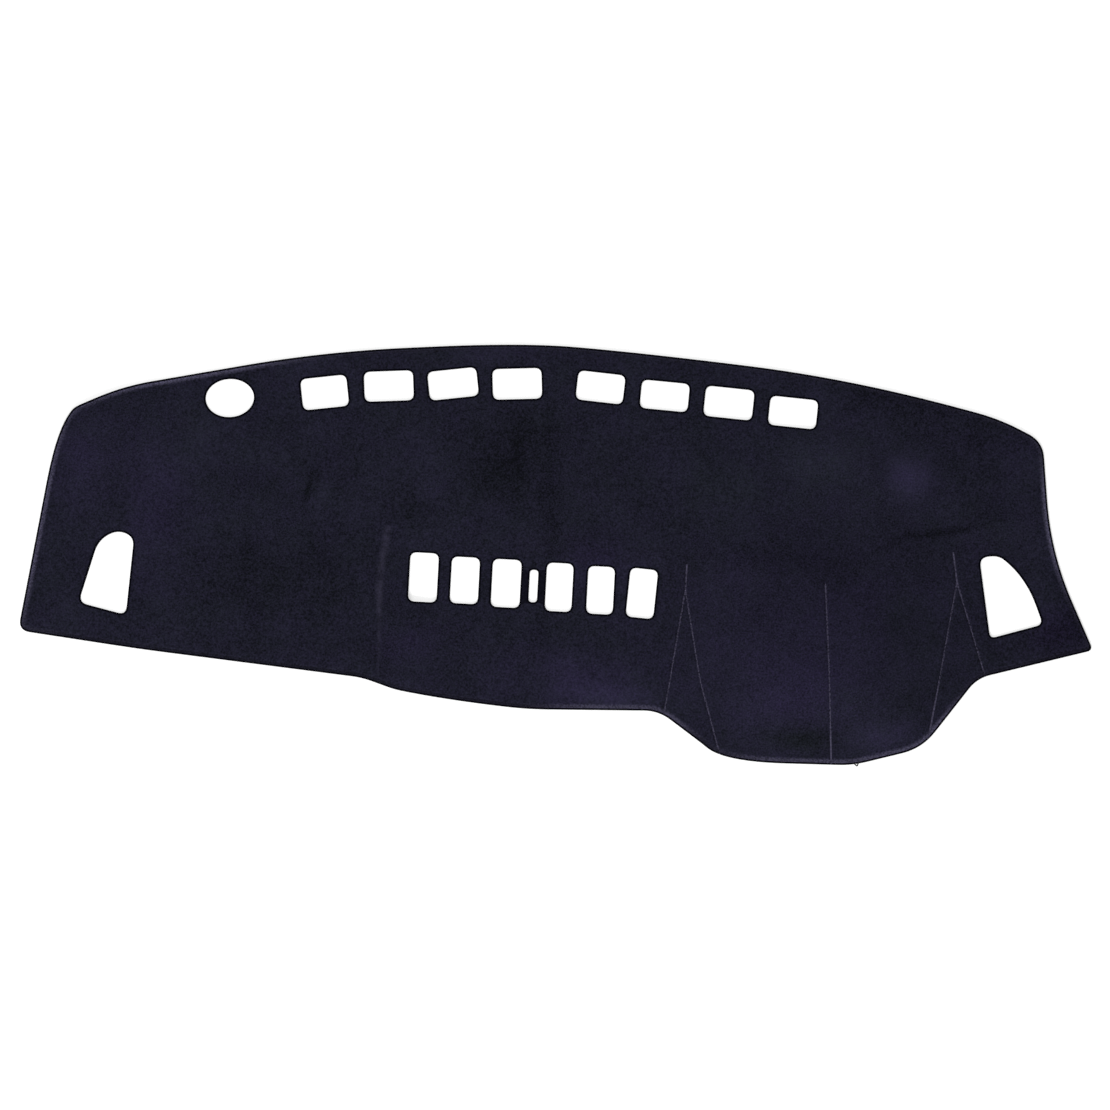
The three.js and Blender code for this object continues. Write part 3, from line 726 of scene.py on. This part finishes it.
def pileMaterial():
    material, tree, shader = newMaterial("navyPile")
    where = wrap(tree, "ShaderNodeTexCoord").outputs["Object"]
    aside = wrap(tree, "ShaderNodeMapping")
    aside.inputs["Location"].default_value = pile["hueAside"]
    tree.links.new(where, aside.inputs["Vector"])
    patterns = {name: noiseNode(tree, where, pile[name]) for name in ("cloud", "mottle", "grain", "fibre")}
    for name in pile["hueSwing"]:
        patterns[name] = noiseNode(tree, aside.outputs[0], pile[name])
    grain = patterns["grain"]
    # Lightness from random tone and the nap marks, some of which are painted light and shade
    light = swung(tree, patterns, pile["swing"], "napAndPaintedLightShare", pile["start"], pile["least"], pile["most"])
    colour = mixColour(tree, light, pile["deep"], pile["light"], clamp=False)
    violet = swung(tree, patterns, pile["hueSwing"], "violet",
                   pile["hueStart"], pile["hueLeast"], pile["hueMost"])
    tint = mixColour(tree, violet, (1, 1, 1), pile["violetTint"], clamp=False)
    colour = mixColour(tree, 1, colour, tint, "MULTIPLY")
    # The hem catches the light in places, broken up by the grain
    hemLit = rangeOf(tree, attribute(tree, "hemLit"), *pile["hemLit"])
    hemBand = mathNode(tree, "MULTIPLY", bandBeside(tree, "edgeGap", pile["hemBand"]), hemLit)
    broken = mathNode(tree, "MULTIPLY", hemBand, rangeOf(tree, grain, *pile["hemBreaks"]))
    colour = mixColour(tree, broken, colour, pile["hem"])
    # Painted shade: a dark line along the cut edge
    colour = mixColour(tree, bandBeside(tree, "edgeGap", pile["cutRim"]), colour, pile["cut"])
    # The seams are lit in dots, and brightest at their marks
    dots = rangeOf(tree, grain, *pile["seamDots"])
    seamLit = mathNode(tree, "ADD", attribute(tree, "seamLit"), dots, clamp=True)
    seamLine = mathNode(tree, "MULTIPLY", bandBeside(tree, "seamGap", pile["seamBand"]), seamLit)
    colour = mixColour(tree, seamLine, colour, pile["seam"])
    # Painted highlight along the left dart, in patches
    patchy = rangeOf(tree, patterns["mottle"], *pile["dartPatches"])
    dartLine = mathNode(tree, "MULTIPLY", bandBeside(tree, "dartGap", pile["dartBand"]), patchy)
    colour = mixColour(tree, dartLine, colour, pile["seam"])
    # Painted shade: a dark ring round each hole
    colour = mixColour(tree, bandBeside(tree, "holeGap", pile["holeRing"]), colour, pile["cut"])
    pileSide = rangeOf(tree, attribute(tree, "pileSide"), *pile["pileSide"])
    colour = mixColour(tree, pileSide, pile["back"], colour)
    tree.links.new(colour, shader.inputs["Base Color"])
    shader.inputs["Roughness"].default_value = pile["roughness"]
    shader.inputs["Specular IOR Level"].default_value = pile["specular"]
    shader.inputs["Sheen Weight"].default_value = pile["sheen"]
    shader.inputs["Sheen Roughness"].default_value = pile["sheenRoughness"]
    shader.inputs["Sheen Tint"].default_value = (*pile["sheenTint"], 1)
    coarse = mathNode(tree, "MULTIPLY", grain, pile["grainInNap"])
    fine = mathNode(tree, "MULTIPLY", patterns["fibre"], 1 - pile["grainInNap"])
    addBump(tree, shader, mathNode(tree, "ADD", coarse, fine), pile["bump"], pile["bumpHeight"])
    return material


thread = {
    # lit is a painted highlight where the edge catches the light; rim is painted shade along the cut edge
    "dark": (0.0060, 0.0056, 0.0105),
    "lit": (0.128, 0.120, 0.185),
    "rim": (0.0006, 0.0005, 0.0020),
    "rimBand": (2.3, 3.0, 1),
    "hemLit": (0, 1, 0.08, 1.0), "patchLit": (0.35, 0.65, 0.35, 1.2), "twistDark": (0.3, 0.7, 0, 0.4),
    "twist": (2400, 2, 0.6), "patches": (260, 2, 0.7),
    "roughness": 0.75, "specular": 0.08, "bump": 0.5, "bumpHeight": 0.0002,
}


def threadMaterial():
    # Painted shade makes the thread dark where it turns down round the edge, and a painted highlight makes it
    # lightest where the edge catches the light
    material, tree, shader = newMaterial("violetGreyThread")
    where = wrap(tree, "ShaderNodeTexCoord").outputs["Object"]
    twist = noiseNode(tree, where, thread["twist"])
    patches = noiseNode(tree, where, thread["patches"])
    lit = rangeOf(tree, attribute(tree, "hemLit"), *thread["hemLit"])
    lit = mathNode(tree, "MULTIPLY", lit, rangeOf(tree, patches, *thread["patchLit"]))
    colour = mixColour(tree, lit, thread["dark"], thread["lit"])
    colour = mixColour(tree, rangeOf(tree, twist, *thread["twistDark"]), colour, thread["dark"])
    # Painted shade along the cut edge
    colour = mixColour(tree, bandBeside(tree, "rimGap", thread["rimBand"]), colour, thread["rim"])
    tree.links.new(colour, shader.inputs["Base Color"])
    shader.inputs["Roughness"].default_value = thread["roughness"]
    shader.inputs["Specular IOR Level"].default_value = thread["specular"]
    addBump(tree, shader, twist, thread["bump"], thread["bumpHeight"])
    return material


pileCloth = pileMaterial()
sewingThread = threadMaterial()


print("cloth: shells")
centres = planVerts[planFaces].mean(1)
owner = np.full(len(planFaces), "main_panel", dtype=object)
for name, plan in gussetPlans.items():
    owner[insideOf(centres, plan["corners"])] = name


pieceNames = {"main_panel": "clothMainPanel", "hood_gusset_left": "clothGussetLeft",
              "hood_gusset_right": "clothGussetRight"}
clothPieces = {}
for node, name in pieceNames.items():
    faces = planFaces[owner == node]
    piece = pieceMesh(name, faces)
    piece.data.materials.append(pileCloth)
    clothPieces[node] = (piece, faces)
    print("cloth:", name, len(piece.data.polygons), "faces")


def newTree(name, inputs):
    # Geometry nodes with a mesh in, a mesh out and the named inputs
    tree = bpy.data.node_groups.new(name, "GeometryNodeTree")
    tree.interface.new_socket("Geometry", in_out="INPUT", socket_type="NodeSocketGeometry")
    for label, (kind, value) in inputs.items():
        socket = tree.interface.new_socket(label, in_out="INPUT", socket_type=kind)
        if value is not None:
            socket.default_value = value
    tree.interface.new_socket("Geometry", in_out="OUTPUT", socket_type="NodeSocketGeometry")
    return tree


def stitchTree():
    # Stitches of one thread, repeated along a line: each is an oval loop of thread set square to the line
    tree = newTree("stitchesAlongLine", {
        "Pitch": ("NodeSocketFloat", 0.004),
        "Loop Size": ("NodeSocketVector", (1, 1, 1)),
        "Thread Radius": ("NodeSocketFloat", 0.0003),
        "Slant": ("NodeSocketFloat", 0.4),
        "Unevenness": ("NodeSocketFloat", 0.08),
        "Seed": ("NodeSocketInt", 3),
        "Thread": ("NodeSocketMaterial", None),
    })
    link = tree.links.new
    entry = wrap(tree, "NodeGroupInput").outputs
    line = wrap(tree, "GeometryNodeMeshToCurve")
    link(entry["Geometry"], line.inputs["Mesh"])
    stations = wrap(tree, "GeometryNodeCurveToPoints", mode="LENGTH")
    link(line.outputs["Curve"], stations.inputs["Curve"])
    link(entry["Pitch"], stations.inputs["Length"])
    along = wrap(tree, "FunctionNodeAlignRotationToVector", axis="X")
    link(stations.outputs["Tangent"], along.inputs["Vector"])
    upright = wrap(tree, "FunctionNodeAlignRotationToVector", axis="Z", pivot_axis="X")
    upright.inputs["Vector"].default_value = (0, 0, 1)
    link(along.outputs["Rotation"], upright.inputs["Rotation"])
    wobble = wrap(tree, "FunctionNodeRandomValue", data_type="FLOAT")
    spread = wrap(tree, "ShaderNodeMath", operation="MULTIPLY")
    spread.inputs[1].default_value = -1
    link(entry["Unevenness"], spread.inputs[0])
    link(spread.outputs[0], wobble.inputs[2])
    link(entry["Unevenness"], wobble.inputs[3])
    link(entry["Seed"], wobble.inputs["Seed"])
    turnAngle = wrap(tree, "ShaderNodeMath", operation="ADD")
    link(wobble.outputs[1], turnAngle.inputs[0])
    link(entry["Slant"], turnAngle.inputs[1])
    turnBy = wrap(tree, "ShaderNodeCombineXYZ")
    link(turnAngle.outputs[0], turnBy.inputs["Z"])
    toRotation = wrap(tree, "FunctionNodeEulerToRotation")
    link(turnBy.outputs[0], toRotation.inputs[0])
    turn = wrap(tree, "FunctionNodeRotateRotation", rotation_space="LOCAL")
    link(upright.outputs["Rotation"], turn.inputs["Rotation"])
    link(toRotation.outputs[0], turn.inputs["Rotate By"])
    loop = wrap(tree, "GeometryNodeCurvePrimitiveCircle", mode="RADIUS")
    loop.inputs["Resolution"].default_value = 10
    loop.inputs["Radius"].default_value = 1
    stand = wrap(tree, "GeometryNodeTransform")
    stand.inputs["Rotation"].default_value = (0, math.pi / 2, 0)
    link(loop.outputs["Curve"], stand.inputs["Geometry"])
    size = wrap(tree, "GeometryNodeTransform")
    link(stand.outputs["Geometry"], size.inputs["Geometry"])
    link(entry["Loop Size"], size.inputs["Scale"])
    section = wrap(tree, "GeometryNodeCurvePrimitiveCircle", mode="RADIUS")
    section.inputs["Resolution"].default_value = 4
    link(entry["Thread Radius"], section.inputs["Radius"])
    tube = wrap(tree, "GeometryNodeCurveToMesh")
    link(size.outputs["Geometry"], tube.inputs["Curve"])
    link(section.outputs["Curve"], tube.inputs["Profile Curve"])
    put = wrap(tree, "GeometryNodeInstanceOnPoints")
    link(stations.outputs["Points"], put.inputs["Points"])
    link(tube.outputs["Mesh"], put.inputs["Instance"])
    link(turn.outputs["Rotation"], put.inputs["Rotation"])
    real = wrap(tree, "GeometryNodeRealizeInstances")
    link(put.outputs["Instances"], real.inputs["Geometry"])
    dressed = wrap(tree, "GeometryNodeSetMaterial")
    link(real.outputs["Geometry"], dressed.inputs["Geometry"])
    link(entry["Thread"], dressed.inputs["Material"])
    leave = wrap(tree, "NodeGroupOutput")
    link(dressed.outputs["Geometry"], leave.inputs["Geometry"])
    return tree


def lineObject(name, lines):
    # Lines of (points in metres, closed) as one mesh of edges
    verts = []
    edges = []
    for points, closed in lines:
        first = len(verts)
        verts += [tuple(p) for p in points]
        edges += [(first + i, first + i + 1) for i in range(len(points) - 1)]
        if closed:
            edges.append((first + len(points) - 1, first))
    mesh = bpy.data.meshes.new(name)
    mesh.from_pydata(verts, edges, [])
    thing = bpy.data.objects.new(name, mesh)
    bpy.context.scene.collection.objects.link(thing)
    return thing


def grown(name, source, tree, settings):
    # The tree's result as a plain mesh in an object of its own
    modifier = source.modifiers.new("grow", "NODES")
    modifier.node_group = tree
    sockets = {s.name: s.identifier for s in tree.interface.items_tree if s.in_out == "INPUT"}
    for label, value in settings.items():
        modifier[sockets[label]] = value
    graph = bpy.context.evaluated_depsgraph_get()
    mesh = bpy.data.meshes.new_from_object(source.evaluated_get(graph), depsgraph=graph)
    mesh.name = name
    mesh.shade_smooth()
    bpy.data.objects.remove(source)
    piece = bpy.data.objects.new(name, mesh)
    bpy.context.scene.collection.objects.link(piece)
    return piece


def dressThread(piece, alwaysLit=None):
    # What the thread's material reads: how far in from the cut edge it lies, and how lit that edge is
    flat = np.array([v.co for v in piece.data.vertices])[:, :2] / mm + middle
    lit = humps(flat, hemMarks, "light") if alwaysLit is None else np.full(len(flat), alwaysLit)
    setValues(piece.data, "rimGap", np.where(insideOf(flat, edge), distanceTo(flat, edgeLoop), 0))
    setValues(piece.data, "hemLit", np.clip(lit, 0, 1))


def onCloth(plan, lift=0):
    # Points of the plan set on the pile side of the cloth, in metres
    _, height = clothHeights(plan, lineGaps(plan))
    return np.column_stack(((plan - middle) * mm, (height + lift) * mm))


def sewn(name, lines, stitch):
    # A row of stitches along each line, each a loop of thread with the stitch's half sizes
    return grown(name, lineObject(name + "Course", lines), stitches, {
        "Pitch": stitch["pitch"] * mm,
        "Loop Size": (1, stitch["halves"][0] * mm, stitch["halves"][1] * mm),
        "Thread Radius": stitch["thread"] * mm,
        "Slant": stitch["slant"],
        "Unevenness": stitch["unevenness"],
        "Seed": stitch["seed"],
        "Thread": sewingThread,
    })


overlock = {"pitch": 3.6, "inset": 2.5, "halves": (2.75, 2.1), "thread": 0.26, "slant": 0.42,
            "unevenness": 0.12, "seed": 3}
needle = {"pitch": 3.6, "halves": (1.3, 0.45), "thread": 0.3, "slant": math.pi / 2,
          "unevenness": 0.1, "seed": 5, "rowShare": 0.95}
seamStitch = {"pitch": 5.2, "halves": (1.6, 0.35), "thread": 0.36, "slant": math.pi / 2,
              "unevenness": 0.1, "seed": 7, "lift": 0.1, "lit": 0.75}

print("thread: overlocked edge")
stitches = stitchTree()
inward = lineSides(edge, True)
beadLine = edge + inward * overlock["inset"]
beadHeight = relief(edge) + cloth["hemLift"] + cloth["hemThick"] / 2
beadPoints = np.column_stack(((beadLine - middle) * mm, beadHeight * mm))
edgeThread = sewn("edgeOverlock", [(beadPoints, True)], overlock)

print("thread: needle line and seams")
needlePlan = edge + inward * cloth["needleLine"]
needlePlan = needlePlan[distanceTo(needlePlan, edgeLoop) > needle["rowShare"] * cloth["needleLine"]]
needleThread = sewn("edgeNeedleLine", [(onCloth(needlePlan), True)], needle)
seamRuns = []
for line in hoodSeams:
    clear = insideOf(line, edge) & (distanceTo(line, edgeLoop) > cloth["needleLine"])
    seamRuns.append((onCloth(line[clear], seamStitch["lift"]), False))
seamThread = sewn("seamStitches", seamRuns, seamStitch)


# Tuft of thread at the lip of the hood, from the middle of the mat
tail = {"at": (408.6, -284.2, 0), "thread": 0.8, "sides": 8, "lit": 0.2,
        "path": ((-4.2, 1.6, 2.8), (-2.4, -0.3, 3.4), (-0.5, -1.9, 2.8), (0.4, -1.2, 2.5), (0.9, 0.2, 2.7),
                 (1.7, 1.8, 2.6))}


def tubeMesh(name, path, radius, sides):
    # Round tube with closed ends along a smooth path of points in metres
    path = [Vector(p) for p in path]
    line = []
    for i in range(len(path) - 1):
        before, here, there, after = (path[max(0, min(len(path) - 1, i + k))] for k in (-1, 0, 1, 2))
        for t in (0, 0.25, 0.5, 0.75):
            setOff, arrive = (there - before) / 2, (after - here) / 2
            line.append(here * (2 * t ** 3 - 3 * t * t + 1) + setOff * (t ** 3 - 2 * t * t + t)
                        + there * (3 * t * t - 2 * t ** 3) + arrive * (t ** 3 - t * t))
    line.append(path[-1])
    verts = []
    faces = []
    for i, at in enumerate(line):
        ahead = (line[min(i + 1, len(line) - 1)] - line[max(i - 1, 0)]).normalized()
        across = ahead.cross(Vector((0, 0, 1))).normalized()
        up = across.cross(ahead)
        for k in range(sides):
            angle = 2 * math.pi * k / sides
            verts.append(at + (across * math.cos(angle) + up * math.sin(angle)) * radius)
    for i in range(len(line) - 1):
        for k in range(sides):
            a, b = i * sides + k, i * sides + (k + 1) % sides
            faces.append((a, b, b + sides, a + sides))
    faces.append(tuple(range(sides))[::-1])
    faces.append(tuple(range((len(line) - 1) * sides, len(line) * sides)))
    mesh = bpy.data.meshes.new(name)
    mesh.from_pydata(verts, [], faces)
    mesh.shade_smooth()
    return mesh


print("thread: tuft at the lip")
tailPath = [(Vector(tail["at"]) + Vector(p)) * mm for p in tail["path"]]
tailMesh = tubeMesh("threadTail", tailPath, tail["thread"] * mm, tail["sides"])
threadTail = bpy.data.objects.new("threadTail", tailMesh)
threadTail.data.materials.append(sewingThread)
bpy.context.scene.collection.objects.link(threadTail)

for piece in (edgeThread, needleThread):
    dressThread(piece)
dressThread(seamThread, seamStitch["lit"])
dressThread(threadTail, tail["lit"])

print("stage")


def seenDirectly(tree):
    # 1 where the camera looks, straight or by way of gloss or glass
    rays = wrap(tree, "ShaderNodeLightPath").outputs
    seen = mathNode(tree, "MAXIMUM", rays["Is Camera Ray"], rays["Is Glossy Ray"])
    return mathNode(tree, "MAXIMUM", seen, rays["Is Transmission Ray"])


# Floor, room and lamps, in metres and watts. The floor lies just under the cloth.
stage = {"size": 14, "under": 0.0004, "floorColour": (0.82, 0.82, 0.82), "roughness": 0.9, "floorGlow": 0.5,
         "roomLight": 0.4, "roomGlow": 0.6}
lamps = {"keyLight": {"at": (-0.4, -3.2, 2.6), "size": (2.4, 1.6), "power": 112},
         "fillLight": {"at": (-1.8, 1.6, 3.2), "size": (2.2, 2.2), "power": 42}}


def floorMaterial():
    # Pale floor: it catches the shadow, and the camera sees it near white
    material, tree, shader = newMaterial("paleFloor")
    shader.inputs["Base Color"].default_value = (*stage["floorColour"], 1)
    shader.inputs["Roughness"].default_value = stage["roughness"]
    shader.inputs["Specular IOR Level"].default_value = 0
    shader.inputs["Emission Color"].default_value = (1, 1, 1, 1)
    strength = mathNode(tree, "MULTIPLY", seenDirectly(tree), stage["floorGlow"])
    tree.links.new(strength, shader.inputs["Emission Strength"])
    return material


def makeFloor():
    half = stage["size"] / 2
    corners = [(x * half, y * half, -stage["under"]) for x, y in ((-1, -1), (1, -1), (1, 1), (-1, 1))]
    mesh = bpy.data.meshes.new("floor")
    mesh.from_pydata(corners, [], [(0, 1, 2, 3)])
    mesh.materials.append(floorMaterial())
    floor = bpy.data.objects.new("floor", mesh)
    bpy.context.scene.collection.objects.link(floor)


def makeRoom():
    # Soft light from all round, which the camera sees as white
    world = bpy.data.worlds.new("paleRoom")
    bpy.context.scene.world = world
    world.use_nodes = True
    tree = world.node_tree
    glow = mathNode(tree, "MULTIPLY", seenDirectly(tree), stage["roomGlow"])
    background = tree.nodes["Background"]
    background.inputs["Color"].default_value = (1, 1, 1, 1)
    tree.links.new(mathNode(tree, "ADD", glow, stage["roomLight"]), background.inputs["Strength"])


def makeLamp(name, lamp):
    data = bpy.data.lights.new(name, "AREA")
    data.shape = "RECTANGLE"
    data.size, data.size_y = lamp["size"]
    data.energy = lamp["power"]
    thing = bpy.data.objects.new(name, data)
    thing.location = lamp["at"]
    thing.rotation_euler = (-Vector(lamp["at"])).to_track_quat("-Z", "Y").to_euler()
    bpy.context.scene.collection.objects.link(thing)


makeFloor()
makeRoom()
for name, lamp in lamps.items():
    makeLamp(name, lamp)

# The camera looks straight down and takes in the view's width. Millimetres, and metres for the far limit
view = {"width": 1504.9, "lens": 200, "sensor": 36, "at": (-0.9, -0.2), "far": 100}
camera = bpy.data.objects.new("camera", bpy.data.cameras.new("camera"))
camera.data.lens = view["lens"]
camera.data.sensor_width = view["sensor"]
camera.data.clip_end = view["far"]
camera.location = [v * mm for v in (*view["at"], view["width"] * view["lens"] / view["sensor"])]
bpy.context.scene.collection.objects.link(camera)
bpy.context.scene.camera = camera
bpy.context.scene.view_settings.view_transform = "Standard"

print("table: what each piece is and rides on")
for node, (piece, faces) in clothPieces.items():
    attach(piece, "root")
    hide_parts(node)
for piece in (edgeThread, needleThread, seamThread, threadTail):
    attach(piece, "root")

print("done")
